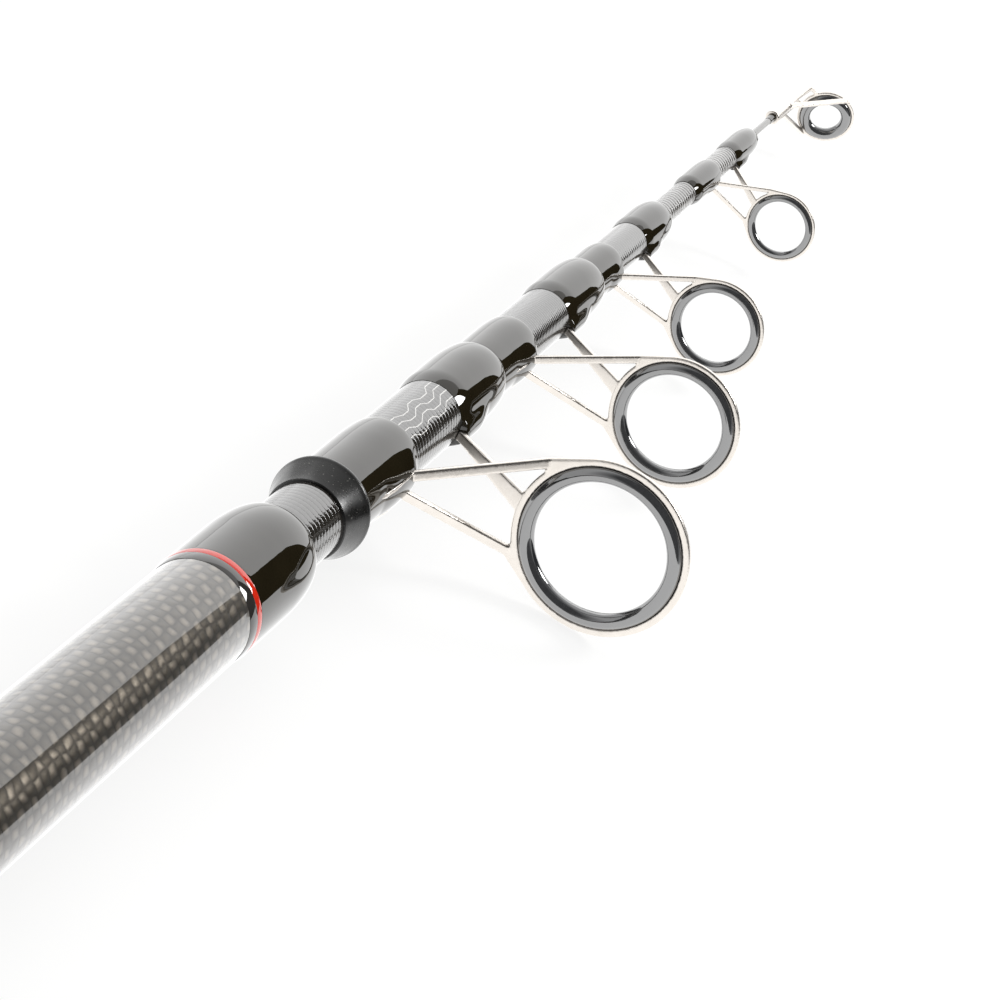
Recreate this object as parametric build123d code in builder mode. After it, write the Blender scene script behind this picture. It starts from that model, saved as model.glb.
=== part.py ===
from build123d import *
from math import cos, radians, sin
import os

os.makedirs("parts", exist_ok=True)

# A six-section telescopic fishing rod, pushed together for transport.
# All lengths are in millimetres. X runs along the rod from the butt to the tip, Z is up,
# and the origin is the centre of the butt's flat end. The first line guide points to -Y,
# so the rod lies level on its rear grip and on that guide's ring.

# Butt cap, from the end of the rod inwards
bumper_radius = 10.0
bumper_length = 2.6
bumper_proud = 1.0
cap_radius = 13.2
cap_length = 7.0
cap_edge = 1.2
cap_flutes = 24
cap_flute_radius = 0.8
plug_radius = 6.6
plug_length = 14.0
cap_thread_pitch = 1.5
cap_thread_depth = 0.4
cap_thread_clearance = 0.08
insert_wall = 0.75
insert_length = 18.0
pad_radius = 6.2
pad_length = 4.0

# Handle, along the butt section
rear_grip_length = 103.0
rear_grip_radius = 13.6
rear_grip_waist = 12.1
rear_grip_front = 12.9
grip_round = 1.6
check_length = 3.0
check_radius = 13.1
check_edge = 0.5
seat_length = 132.0
seat_radius = 11.0
seat_bed_height = 9.8
seat_thread_start = 10.0
seat_thread_length = 58.0
seat_thread_pitch = 2.0
seat_thread_depth = 0.6
nut_start = 3.0
nut_length = 11.0
nut_radius = 13.2
nut_flutes = 24
nut_flute_radius = 0.7
nut_gap = 0.1
hood_clearance = 0.08
hood_ring_length = 22.0
hood_ring_radius = 12.8
hood_travel = 28.0
fixed_hood_length = 25.0
fixed_hood_inset = 0.9
cowl_offset = 5.2
cowl_radius = 10.6
cowl_wall = 1.2
cowl_depth = 13.0
cowl_end = 4.0
cowl_slope = 3.2
fore_grip_length = 48.0
fore_grip_rear = 12.9
fore_grip_front = 10.2
fore_grip_waist = 11.1
front_check_length = 6.0
front_check_lip = 0.6

# Butt section, its blank and its front winding
butt_mouth = 430.0
butt_rear_radius = 8.4
butt_front_radius = 7.7
butt_bore = 6.3
butt_winding_length = 21.3
butt_winding_radius = 8.0
butt_nose = 9.0
red_ring_length = 1.2
red_ring_radius = 8.05
dark_band_length = 1.9
dark_band_radius = 7.9

# Section 2, with guide 1
exposed_2 = 79.0
taper_2 = 0.0018
overlap_2 = 50.0
bore_2 = 5.0
collar_gap = 12.5
collar_length = 5.1
collar_rim_length = 0.9
collar_lip = 0.4
collar_rim_radius = 7.55
rear_wind_gap_2 = 18.6
rear_wind_2 = 21.9
front_wind_2 = 19.8
rear_wind_radius_2 = 6.3
front_wind_radius_2 = 6.15

# Section 3, with guide 2
exposed_3 = 51.1
taper_3 = 0.0010
overlap_3 = 45.0
bore_3 = 4.02
rear_wind_gap_3 = 0.5
rear_wind_3 = 15.8
front_wind_3 = 18.6
rear_wind_radius_3 = 5.15
front_wind_radius_3 = 5.05

# Section 4, with guide 3
exposed_4 = 40.6
taper_4 = 0.0010
overlap_4 = 42.0
bore_4 = 2.85
rear_wind_gap_4 = 0.5
rear_wind_4 = 11.4
front_wind_4 = 15.0
rear_wind_radius_4 = 4.05
front_wind_radius_4 = 3.95

# Section 5, with guide 4
exposed_5 = 58.3
taper_5 = 0.0010
overlap_5 = 40.0
bore_5 = 1.55
rear_wind_gap_5 = 17.6
rear_wind_5 = 14.9
front_wind_5 = 15.0
rear_wind_radius_5 = 2.85
front_wind_radius_5 = 2.65

# Tip section, a thin solid rod
exposed_tip = 26.5
taper_tip = 0.0012
overlap_tip = 35.0
tip_plug_length = 60.0
tip_mouth_radius = 0.70
tip_end_radius = 0.62
tip_winding_length = 3.0
tip_winding_radius = 1.0

# The slack that lets each section slide and jam in the mouth of the one before, the wall that
# is left at a hollow blank's thinned mouth, and the height of its winding's lip above that
fit_clearance = 0.03
mouth_wall = 0.2
mouth_lip = 0.12

# Line guides 1 to 4: the ceramic ring's outer radius and wall, the height of its centre
# above the rod's axis, how far it stands behind the front winding, and its turn about the rod
guide_ring_1 = 12.5
guide_wall_1 = 2.4
guide_height_1 = 33.1
guide_setback_1 = 9.0
guide_turn_1 = 0.0
guide_ring_2 = 9.9
guide_wall_2 = 2.1
guide_height_2 = 27.8
guide_setback_2 = 9.0
guide_turn_2 = 1.4
guide_ring_3 = 7.75
guide_wall_3 = 1.7
guide_height_3 = 21.1
guide_setback_3 = 6.7
guide_turn_3 = 7.6
guide_ring_4 = 6.0
guide_wall_4 = 1.3
guide_height_4 = 16.1
guide_setback_4 = 6.1
guide_turn_4 = 14.7

# How a guide's frame follows its ring
sheet_share = 0.088
band_share = 0.090
leg_width_share = 0.125
centre_leg_share = 0.120
centre_root_share = 0.250
leg_joint_share = 1.150
leg_joint_angle = 147.0
ear_near_angle = 22.0
ear_far_angle = 30.0
ring_depth_share = 1.20
ring_round_share = 0.46
foot_sink = 0.25
foot_height_share = 0.75
foot_spread_share = 0.28
rear_bend_share = 0.16
rear_foot_share = 0.62
front_foot_share = 0.54
foot_tip_share = 0.30

# How a winding follows the blank under it
wind_edge = 0.12
rear_nose_share = 0.36
front_nose_share = 0.42
nose_lip_share = 0.35
step_length_share = 0.11
step_depth = 0.22
ridge_radius_share = 0.60
ridge_cover = 0.40
ridge_reach = 1.5

# Tip-top: the tube on the tip, the plate ahead of it, the ring with its plate, and the two legs
tiptop_tube_start = 16.4
tiptop_tube_length = 11.6
tiptop_tube_radius = 1.35
tiptop_sheet = 0.7
tiptop_plate_rear = 1.1
tiptop_plate_front = 2.3
tiptop_window = 1.6
tiptop_bend_depth = 7.2
tiptop_ring = 5.05
tiptop_wall = 2.1
tiptop_band = 0.55
tiptop_ring_ahead = 41.0
tiptop_height = 6.7
tiptop_lean = 24.0
tiptop_turn = 28.0
tiptop_leg_width = 1.0
tiptop_leg_start = 25.0
tiptop_leg_spread = 1.15
tiptop_leg_rise = 0.4
tiptop_ear = 0.6

# Cuts run this far past the surfaces that they cut, and a nose is a quarter of an ellipse
overrun = 1.0
quarter_turn = 90


def save(part, node):
    """Label one finished piece and write it under its node's name."""
    part.label = node
    export_step(part, "parts/" + node + ".step")


def cone(start, start_radius, taper):
    """Return the radius along a straight taper that gets thinner towards the tip."""
    return lambda x: start_radius - taper * (x - start)


def sleeve(start, end, bore, outside):
    """Turn a piece whose bore follows bore(x) and whose outside passes through the points given."""
    with BuildPart() as piece:
        with BuildSketch(Plane.XY):
            with BuildLine():
                Polyline((start, bore(start)), *outside, (end, bore(end)), close=True)
            make_face()
        revolve(axis=Axis.X)
    return piece.part


def grip(start, end, bore, rear, waist, front):
    """Turn a foam grip with rounded ends and a gentle waist."""
    with BuildPart() as piece:
        with BuildSketch(Plane.XY):
            with BuildLine():
                Polyline((start + grip_round, rear), (start, rear - grip_round), (start, bore(start)),
                         (end, bore(end)), (end, front - grip_round), (end - grip_round, front))
                ThreePointArc((start + grip_round, rear), ((start + end) / 2, waist),
                              (end - grip_round, front))
            make_face()
        revolve(axis=Axis.X)
    return piece.part


def grooves(start, length, pitch, crest, depth):
    """Return the outline of thread grooves: cut into a shaft, or out of a bore if depth is negative."""
    points = []
    for turn in range(int(length / pitch)):
        at = start + turn * pitch
        points += [(at, crest), (at + pitch / 2, crest - depth)]
    return points + [(start + int(length / pitch) * pitch, crest)]


def directions(turn):
    """Return the unit vectors away from the rod, towards a guide's ring, and across the guide."""
    out = Vector(0, -cos(radians(turn)), -sin(radians(turn)))
    return out, Vector(1, 0, 0).cross(out)


# Stations along the rod
plug_end = cap_length + plug_length
rest_face = plug_end + pad_length
insert_end = cap_length + insert_length
insert_bore = plug_radius + cap_thread_clearance
insert_radius = insert_bore + insert_wall
grip_end = cap_length + rear_grip_length
seat_start = grip_end + check_length
seat_end = seat_start + seat_length
fore_start = seat_end + check_length
fore_end = fore_start + fore_grip_length
front_check_end = fore_end + front_check_length
butt_winding_start = butt_mouth - butt_winding_length
red_ring_start = butt_winding_start - red_ring_length
dark_band_start = red_ring_start - dark_band_length
mouth_2 = butt_mouth + exposed_2
mouth_3 = mouth_2 + exposed_3
mouth_4 = mouth_3 + exposed_4
mouth_5 = mouth_4 + exposed_5
tip_end = mouth_5 + exposed_tip

# Butt blank, with a wider bore at the rear for the threaded insert
butt_taper = (butt_rear_radius - butt_front_radius) / (butt_mouth - cap_length)
butt_outer = cone(cap_length, butt_rear_radius, butt_taper)
butt_inner = cone(butt_mouth, butt_bore, taper_2)
butt_bevel = butt_mouth - butt_nose
with BuildPart() as butt_blank:
    with BuildSketch(Plane.XY):
        with BuildLine():
            Polyline((cap_length, insert_radius), (cap_length, butt_outer(cap_length)),
                     (butt_bevel, butt_outer(butt_bevel)), (butt_mouth, butt_bore + mouth_wall),
                     (butt_mouth, butt_bore), (insert_end, butt_inner(insert_end)),
                     (insert_end, insert_radius), close=True)
        make_face()
    revolve(axis=Axis.X)
save(butt_blank.part, "butt_blank")

# Threaded insert in the butt's end; its thread is drawn as rings, clear of the plug's crests
insert_outside = [(cap_length, insert_radius), (insert_end, insert_radius)]
insert_thread = grooves(cap_length, insert_length, cap_thread_pitch, insert_bore, -cap_thread_depth)
with BuildPart() as butt_insert:
    with BuildSketch(Plane.XY):
        with BuildLine():
            Polyline(*insert_outside, *reversed(insert_thread), close=True)
        make_face()
    revolve(axis=Axis.X)
save(butt_insert.part, "butt_insert")

# Butt cap: a fluted disc with a threaded plug, and a recess for the bumper
plug_thread = grooves(cap_length, plug_length, cap_thread_pitch, plug_radius, cap_thread_depth)
cap_face = bumper_proud
with BuildPart() as butt_cap:
    with BuildSketch(Plane.XY):
        with BuildLine():
            Polyline((bumper_length, 0), (bumper_length, bumper_radius), (cap_face, bumper_radius),
                     (cap_face, cap_radius - cap_edge), (cap_face + cap_edge, cap_radius),
                     (cap_length, cap_radius), *plug_thread, (plug_end, plug_radius), (plug_end, 0),
                     close=True)
        make_face()
    revolve(axis=Axis.X)
    with BuildSketch(Plane.YZ.offset(cap_face)):
        with PolarLocations(cap_radius + cap_flute_radius / 2, cap_flutes):
            Circle(cap_flute_radius)
    extrude(amount=cap_length, mode=Mode.SUBTRACT)
save(butt_cap.part, "butt_cap")

# Rubber bumper let into the cap: its face is the flat end of the rod
with BuildPart() as butt_bumper:
    with BuildSketch(Plane.YZ):
        Circle(bumper_radius)
    extrude(amount=bumper_length)
    chamfer(butt_bumper.faces().sort_by(Axis.X)[0].edges(), length=bumper_proud / 2)
save(butt_bumper.part, "butt_bumper")

# Soft pad on the plug that the inner sections rest on
with BuildPart() as buffer_pad:
    with BuildSketch(Plane.YZ.offset(plug_end)):
        Circle(pad_radius)
    extrude(amount=pad_length)
save(buffer_pad.part, "buffer_pad")

# Foam grips
rear_grip = grip(cap_length, grip_end, butt_outer, rear_grip_radius, rear_grip_waist, rear_grip_front)
save(rear_grip, "rear_grip")
fore_grip = grip(fore_start, fore_end, butt_outer, fore_grip_rear, fore_grip_waist, fore_grip_front)
save(fore_grip, "fore_grip")

# Metal checks at both ends of the reel seat, and a tapered one ahead of the fore grip
for node, at in (("rear_check", grip_end), ("middle_check", seat_end)):
    ring = sleeve(at, at + check_length, butt_outer,
                  [(at, check_radius - check_edge), (at + check_edge, check_radius),
                   (at + check_length - check_edge, check_radius),
                   (at + check_length, check_radius - check_edge)])
    save(ring, node)
front_check = sleeve(fore_end, front_check_end, butt_outer,
                     [(fore_end, fore_grip_front - grip_round),
                      (front_check_end, butt_outer(front_check_end) + front_check_lip)])
save(front_check, "front_check")

# Reel seat: a threaded barrel with a flat bed for the reel's foot
thread_start = seat_start + seat_thread_start
seat_thread = grooves(thread_start, seat_thread_length, seat_thread_pitch, seat_radius, seat_thread_depth)
nut_rear = seat_start + nut_start
hood_rear = nut_rear + nut_length + nut_gap
hood_front = hood_rear + hood_ring_length
fixed_rear = seat_end - fixed_hood_inset - fixed_hood_length
bed_end = fixed_rear + cowl_depth
with BuildPart() as reel_seat:
    with BuildSketch(Plane.XY):
        with BuildLine():
            Polyline((seat_start, butt_outer(seat_start)), (seat_start, seat_radius), *seat_thread,
                     (seat_end, seat_radius), (seat_end, butt_outer(seat_end)), close=True)
        make_face()
    revolve(axis=Axis.X)
    with BuildSketch(Plane.YZ.offset(hood_rear)):
        with Locations((-seat_bed_height - seat_radius / 2, 0)):
            Rectangle(seat_radius, 2 * seat_radius)
    extrude(amount=bed_end - hood_rear, mode=Mode.SUBTRACT)
save(reel_seat.part, "reel_seat")

# Fixed hood at the front of the seat, open towards the butt
with BuildPart() as fixed_hood:
    with BuildSketch(Plane.YZ.offset(fixed_rear)):
        with Locations((-cowl_offset, 0)):
            Circle(cowl_radius)
    extrude(amount=cowl_depth + cowl_end)
    chamfer(fixed_hood.faces().sort_by(Axis.X)[-1].edges(), length=cowl_slope)
    with BuildSketch(Plane.YZ.offset(fixed_rear)):
        Circle(hood_ring_radius)
    extrude(amount=fixed_hood_length)
    with BuildSketch(Plane.YZ.offset(fixed_rear - overrun)):
        with Locations((-cowl_offset, 0)):
            Circle(cowl_radius - cowl_wall)
    extrude(amount=overrun + cowl_depth, mode=Mode.SUBTRACT)
    with BuildSketch(Plane.YZ.offset(fixed_rear - overrun)):
        Circle(seat_radius)
    extrude(amount=2 * overrun + fixed_hood_length, mode=Mode.SUBTRACT)
save(fixed_hood.part, "fixed_hood")

# Sliding hood, open towards the tip; the flat in its bore keeps it from turning
with BuildPart() as sliding_hood:
    with BuildSketch(Plane.YZ.offset(hood_front)):
        with Locations((-cowl_offset, 0)):
            Circle(cowl_radius)
    extrude(amount=-cowl_depth - cowl_end)
    chamfer(sliding_hood.faces().sort_by(Axis.X)[0].edges(), length=cowl_slope)
    with BuildSketch(Plane.YZ.offset(hood_rear)):
        Circle(hood_ring_radius)
    extrude(amount=hood_ring_length)
    with BuildSketch(Plane.YZ.offset(hood_front + overrun)):
        with Locations((-cowl_offset, 0)):
            Circle(cowl_radius - cowl_wall)
    extrude(amount=-overrun - cowl_depth, mode=Mode.SUBTRACT)
    with BuildSketch(Plane.YZ.offset(hood_rear - overrun)):
        Circle(seat_radius + hood_clearance)
        with Locations((-seat_bed_height - hood_clearance - seat_radius / 2, 0)):
            Rectangle(seat_radius, 2 * seat_radius, mode=Mode.SUBTRACT)
    extrude(amount=2 * overrun + hood_ring_length, mode=Mode.SUBTRACT)
save(sliding_hood.part, "sliding_hood")

# Locking nut behind the sliding hood, clear of the thread's crests
with BuildPart() as locking_nut:
    with BuildSketch(Plane.YZ.offset(nut_rear)):
        Circle(nut_radius)
        Circle(seat_radius + hood_clearance, mode=Mode.SUBTRACT)
        with PolarLocations(nut_radius + nut_flute_radius / 2, nut_flutes):
            Circle(nut_flute_radius, mode=Mode.SUBTRACT)
    extrude(amount=nut_length)
save(locking_nut.part, "locking_nut")


def nose_outline(start, end, radius, lip, nose, step):
    """Return the corner points of a winding, from its axis to where its rounded nose begins."""
    points = [(start, 0), (start, radius - step - wind_edge), (start + wind_edge, radius - step)]
    if step:
        shoulder = start + step_length_share * (end - start)
        points += [(shoulder, radius - step), (shoulder + step, radius)]
    return points + [(end - nose, radius)], (end - nose, lip), nose, radius - lip


def winding(start, end, radius, blank_radius, nose, step, ridge, frame, mouth):
    """Wrap lacquered thread round a blank: a bulb with a rounded nose and a ridge over the guide's foot.

    Give mouth, the radius of a hollow blank's thinned mouth, for a winding that ends there.
    """
    blank_end = mouth or blank_radius(end)
    lip = mouth + mouth_lip if mouth else blank_end + nose_lip_share * (radius - blank_end)
    corners, centre, nose_length, nose_height = nose_outline(start, end, radius, lip, nose, step)
    with BuildPart() as wrap:
        with BuildSketch(Plane.XY):
            with BuildLine():
                Polyline(*corners)
                EllipticalCenterArc(centre, nose_length, nose_height, start_angle=0, arc_size=quarter_turn)
                Polyline((end, lip), (end, 0), (start, 0))
            make_face()
        revolve(axis=Axis.X)
        if ridge:
            out, across, low, thick, high, top, ridge_radius = ridge
            middle = out * (top - ridge_radius)
            with BuildSketch(Plane(origin=middle, x_dir=(1, 0, 0), z_dir=across)):
                with BuildLine():
                    Polyline((low, 0), (thick, ridge_radius), (high, ridge_radius - ridge_cover / 2),
                             (high, 0), close=True)
                make_face()
            revolve(axis=Axis(origin=middle, direction=(1, 0, 0)))
        with BuildSketch(Plane.XY):
            with BuildLine():
                Polyline((start - overrun, 0), (start - overrun, blank_radius(start - overrun)),
                         (end - nose, blank_radius(end - nose)), (end, blank_end),
                         (end + overrun, blank_end), (end + overrun, 0), close=True)
            make_face()
        revolve(axis=Axis.X, mode=Mode.SUBTRACT)
        if frame:
            add(frame, mode=Mode.SUBTRACT)
    return wrap.part


def guide_frame(blank, blank_radius, ring_radius, ring_x, height, turn, rear, front):
    """Cut and bend one sheet-metal frame: a ring, two legs to the rear foot and one to the front foot."""
    out, across = directions(turn)
    sheet = sheet_share * ring_radius
    band = ring_radius * (1 + band_share)
    rear_start, rear_end = rear
    front_start, front_end = front
    rear_bend = rear_end - rear_bend_share * (rear_end - rear_start)
    foot_spread = foot_spread_share * blank_radius(rear_bend)
    leg_width = leg_width_share * ring_radius
    joint = leg_joint_share * ring_radius

    def place(x, away, sideways):
        return Vector(x, 0, 0) + out * away + across * sideways

    with BuildPart() as frame:
        with BuildSketch(Plane(origin=place(ring_x, height, 0), x_dir=out, z_dir=(1, 0, 0))):
            Circle(band)
            for hand in (-1, 1):
                tip = radians(hand * leg_joint_angle)
                near = radians(hand * (leg_joint_angle + ear_near_angle))
                far = radians(hand * (leg_joint_angle - ear_far_angle))
                with BuildLine():
                    Polyline((ring_radius * cos(near), ring_radius * sin(near)),
                             (joint * cos(tip), joint * sin(tip)), (band * cos(far), band * sin(far)),
                             (0, 0), close=True)
                make_face()
                with Locations((joint * cos(tip), joint * sin(tip))):
                    Circle(leg_width / 2)
            Circle(ring_radius, mode=Mode.SUBTRACT)
        extrude(amount=sheet / 2, both=True)
        tip = radians(leg_joint_angle)
        legs = [(place(rear_bend, blank_radius(rear_bend) + sheet / 2, hand * foot_spread),
                 place(ring_x, height + joint * cos(tip), hand * joint * sin(tip)), leg_width, leg_width)
                for hand in (-1, 1)]
        legs.append((place(front_start, blank_radius(front_start) + sheet / 2, 0),
                     place(ring_x, height - band + sheet / 2, 0),
                     centre_leg_share * ring_radius, centre_root_share * ring_radius))
        for low, high, low_width, high_width in legs:
            along = (high - low).normalized()
            wide = Vector(1, 0, 0).cross(along).normalized()
            length = (high - low).length
            with BuildSketch(Plane(origin=low, x_dir=along, z_dir=along.cross(wide))):
                with BuildLine():
                    Polyline((0, -low_width / 2), (length, -high_width / 2), (length, high_width / 2),
                             (0, low_width / 2), close=True)
                make_face()
            extrude(amount=sheet / 2, both=True)
        foot_top = foot_height_share * sheet
        feet = ((rear_bend + sheet / 2, -rear_foot_share * (rear_end - rear_start),
                 foot_spread + leg_width / 2),
                (front_start - sheet / 2, front_foot_share * (front_end - front_start), leg_width / 2))
        for heel, length, half_width in feet:
            toe = heel + length
            with BuildSketch(Plane(origin=(0, 0, 0), x_dir=(1, 0, 0), z_dir=across)):
                with BuildLine():
                    Polyline((heel, blank_radius(heel) - foot_sink), (toe, blank_radius(toe) - foot_sink),
                             (toe, blank_radius(toe) + foot_tip_share * foot_top),
                             (heel + length / 2, blank_radius(heel) + foot_top),
                             (heel, blank_radius(heel) + foot_top), close=True)
                make_face()
            extrude(amount=half_width, both=True)
        add(blank, mode=Mode.SUBTRACT)
    return frame.part, out, across, rear_bend, foot_top


def ceramic_ring(centre, normal, radius, wall):
    """Turn a ceramic ring with a rounded section about its own axis."""
    with BuildPart() as ring:
        with BuildSketch(Plane(origin=centre, x_dir=normal, z_dir=normal.cross(Vector(0, 0, 1)))):
            with Locations((0, radius - wall / 2)):
                RectangleRounded(ring_depth_share * wall, wall, ring_round_share * wall)
        revolve(axis=Axis(origin=centre, direction=normal))
    return ring.part


# Blanks of the hollow sections: the outside of each jams in the mouth of the one before
section_mouths = (butt_mouth, mouth_2, mouth_3, mouth_4, mouth_5)
section_bores = (butt_bore, bore_2, bore_3, bore_4, bore_5)
section_tapers = (taper_2, taper_3, taper_4, taper_5, taper_tip)
section_overlaps = (overlap_2, overlap_3, overlap_4, overlap_5, overlap_tip)
outsides = [cone(rest_face, bore + taper * overlap - fit_clearance, taper)
            for bore, taper, overlap in zip(section_bores, section_tapers, section_overlaps)]
bores = [cone(mouth, bore, taper)
         for mouth, bore, taper in zip(section_mouths, section_bores, section_tapers)]
outer_2, outer_3, outer_4, outer_5, outer_tip = outsides
inner_2, inner_3, inner_4, inner_5 = bores[1:]
travels = [mouth - overlap - rest_face for mouth, overlap in zip(section_mouths, section_overlaps)]

# Front winding of the butt section, the red ring and the dark band behind it
butt_wrap = winding(butt_winding_start, butt_mouth, butt_winding_radius, butt_outer, butt_nose, 0,
                    None, None, butt_bore + mouth_wall)
save(butt_wrap, "butt_winding")
for node, start, length, radius in (("red_ring", red_ring_start, red_ring_length, red_ring_radius),
                                    ("dark_band", dark_band_start, dark_band_length, dark_band_radius)):
    save(sleeve(start, start + length, butt_outer, [(start, radius), (start + length, radius)]), node)

# Flared collar that keeps section 2 from sliding in too far
collar_start = butt_mouth + collar_gap
collar_rim = collar_start + collar_length
collar_end = collar_rim + collar_rim_length
collar = sleeve(collar_start, collar_end, outer_2,
                [(collar_start, outer_2(collar_start) + collar_lip), (collar_rim, collar_rim_radius),
                 (collar_end, collar_rim_radius - collar_lip)])
save(collar, "section_2_collar")

sections = (
    (2, butt_mouth, mouth_2, outer_2, inner_2, rear_wind_gap_2, rear_wind_2, front_wind_2,
     rear_wind_radius_2, front_wind_radius_2, guide_ring_1, guide_wall_1, guide_height_1,
     guide_setback_1, guide_turn_1),
    (3, mouth_2, mouth_3, outer_3, inner_3, rear_wind_gap_3, rear_wind_3, front_wind_3,
     rear_wind_radius_3, front_wind_radius_3, guide_ring_2, guide_wall_2, guide_height_2,
     guide_setback_2, guide_turn_2),
    (4, mouth_3, mouth_4, outer_4, inner_4, rear_wind_gap_4, rear_wind_4, front_wind_4,
     rear_wind_radius_4, front_wind_radius_4, guide_ring_3, guide_wall_3, guide_height_3,
     guide_setback_3, guide_turn_3),
    (5, mouth_4, mouth_5, outer_5, inner_5, rear_wind_gap_5, rear_wind_5, front_wind_5,
     rear_wind_radius_5, front_wind_radius_5, guide_ring_4, guide_wall_4, guide_height_4,
     guide_setback_4, guide_turn_4),
)
for (number, last_mouth, mouth, outer, inner, gap, rear_length, front_length, rear_radius, front_radius,
     ring_radius, wall, height, setback, turn) in sections:
    name = "section_" + str(number)
    guide = "guide_" + str(number - 1)
    front_nose = front_nose_share * front_length
    mouth_outer = inner(mouth) + mouth_wall
    bevel = mouth - front_nose
    blank = sleeve(rest_face, mouth, inner,
                   [(rest_face, outer(rest_face)), (bevel, outer(bevel)), (mouth, mouth_outer)])
    save(blank, name + "_blank")
    rear_start = last_mouth + gap
    rear_end = rear_start + rear_length
    front_start = mouth - front_length
    ring_x = front_start - setback
    frame, out, across, rear_bend, foot_top = guide_frame(
        blank, outer, ring_radius, ring_x, height, turn, (rear_start, rear_end), (front_start, mouth))
    save(frame, guide + "_frame")
    ring = ceramic_ring(Vector(ring_x, 0, 0) + out * height, Vector(1, 0, 0), ring_radius, wall)
    save(ring, guide + "_ring")
    rear_ridge = (out, across, rear_start + ridge_reach / 2, rear_bend - ridge_reach,
                  rear_bend + ridge_reach,
                  outer(rear_bend) + foot_top + ridge_cover, ridge_radius_share * outer(rear_bend))
    front_ridge = (out, across, mouth - ridge_reach / 2, front_start + 2 * ridge_reach,
                   front_start + ridge_reach / 2,
                   outer(front_start) + foot_top + ridge_cover, ridge_radius_share * outer(front_start))
    rear_wrap = winding(rear_start, rear_end, rear_radius, outer, rear_nose_share * rear_length, 0,
                        rear_ridge, frame, None)
    save(rear_wrap, name + "_rear_winding")
    front_wrap = winding(front_start, mouth, front_radius, outer, front_nose, step_depth, front_ridge,
                         frame, mouth_outer)
    save(front_wrap, name + "_front_winding")

# Tip blank: a short taper that jams in section 5, then a long fine one
tip_taper_start = rest_face + tip_plug_length
tip_fine = cone(mouth_5, tip_mouth_radius, (tip_mouth_radius - tip_end_radius) / exposed_tip)
with BuildPart() as tip_blank:
    with BuildSketch(Plane.XY):
        with BuildLine():
            Polyline((rest_face, 0), (rest_face, outer_tip(rest_face)),
                     (tip_taper_start, outer_tip(tip_taper_start)),
                     (mouth_5, tip_fine(mouth_5)), (tip_end, tip_fine(tip_end)), (tip_end, 0), close=True)
        make_face()
    revolve(axis=Axis.X)
save(tip_blank.part, "tip_blank")

# Tip-top, in one piece: a closed tube, a plate that widens ahead of it and bends up into the
# ring's own plate, where a window is left, and a leg from each side of the tube to the ring
tube_start = mouth_5 + tiptop_tube_start
tube_end = tube_start + tiptop_tube_length
ring_x = mouth_5 + tiptop_ring_ahead
out, across = directions(tiptop_turn)
lean = radians(tiptop_lean)
ring_axis = Vector(cos(lean), 0, 0) - out * sin(lean)
ring_up = Vector(sin(lean), 0, 0) + out * cos(lean)
ring_centre = Vector(ring_x, 0, 0) + out * tiptop_height
bend = ring_centre - ring_up * tiptop_bend_depth
plate_length = bend.X - tube_end + overrun
tab_length = tiptop_bend_depth - tiptop_ring + tiptop_band
window_length = tab_length - tiptop_sheet
with BuildPart() as tip_top:
    with BuildSketch(Plane.XY):
        with BuildLine():
            Polyline((tube_start, tip_fine(tube_start)), (tube_start, tiptop_tube_radius),
                     (tube_end, tiptop_tube_radius), (tube_end, 0), (tip_end, 0),
                     (tip_end, tip_fine(tip_end)), close=True)
        make_face()
    revolve(axis=Axis.X)
    with BuildSketch(Plane(origin=bend, x_dir=(1, 0, 0), z_dir=out)):
        with BuildLine():
            Polyline((-plate_length, -tiptop_plate_rear), (0, -tiptop_plate_front), (0, tiptop_plate_front),
                     (-plate_length, tiptop_plate_rear), close=True)
        make_face()
    extrude(amount=tiptop_sheet / 2, both=True)
    with BuildSketch(Plane(origin=ring_centre, x_dir=ring_up, z_dir=ring_axis)):
        with Locations((tab_length / 2 - tiptop_bend_depth, 0)):
            Rectangle(tab_length, 2 * tiptop_plate_front)
        with Locations((tiptop_sheet + window_length / 2 - tiptop_bend_depth, 0)):
            Rectangle(window_length, 2 * tiptop_window, mode=Mode.SUBTRACT)
        Circle(tiptop_ring + tiptop_band)
        with Locations((0, -tiptop_ring - tiptop_band), (0, tiptop_ring + tiptop_band)):
            Circle(tiptop_ear)
        Circle(tiptop_ring, mode=Mode.SUBTRACT)
    extrude(amount=tiptop_sheet / 2, both=True)
    for hand in (-1, 1):
        low = Vector(mouth_5 + tiptop_leg_start, 0, 0) + out * tiptop_leg_rise
        low += across * hand * tiptop_leg_spread
        high = ring_centre + across * hand * (tiptop_ring + tiptop_band + tiptop_sheet / 2)
        along = (high - low).normalized()
        flat = along.cross(ring_axis).normalized()
        with BuildSketch(Plane(origin=low, x_dir=along, z_dir=along.cross(flat))):
            with Locations(((high - low).length / 2, 0)):
                Rectangle((high - low).length, tiptop_sheet)
        extrude(amount=tiptop_leg_width / 2, both=True)
    add(tip_blank.part, mode=Mode.SUBTRACT)
save(tip_top.part, "tip_top_frame")
save(ceramic_ring(ring_centre, ring_axis, tiptop_ring, tiptop_wall), "tip_top_ring")

# Thin winding at the foot of the tip-top's tube
tip_winding_start = tube_start - tip_winding_length
tip_winding = sleeve(tip_winding_start, tube_start, tip_fine,
                     [(tip_winding_start, tip_fine(tip_winding_start) + wind_edge / 2),
                      (tube_start - wind_edge, tip_winding_radius), (tube_start, tip_winding_radius)])
save(tip_winding, "tip_winding")

print("sections slide out by", [round(travel, 3) for travel in travels])
print("closed", round(ring_x + tiptop_ring, 1), "extended", round(ring_x + tiptop_ring + sum(travels), 1))
nut_turns = hood_travel / seat_thread_pitch
cap_turns = plug_length / cap_thread_pitch
print("nut turns", round(nut_turns, 2), "cap turns", round(cap_turns, 2))
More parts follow.
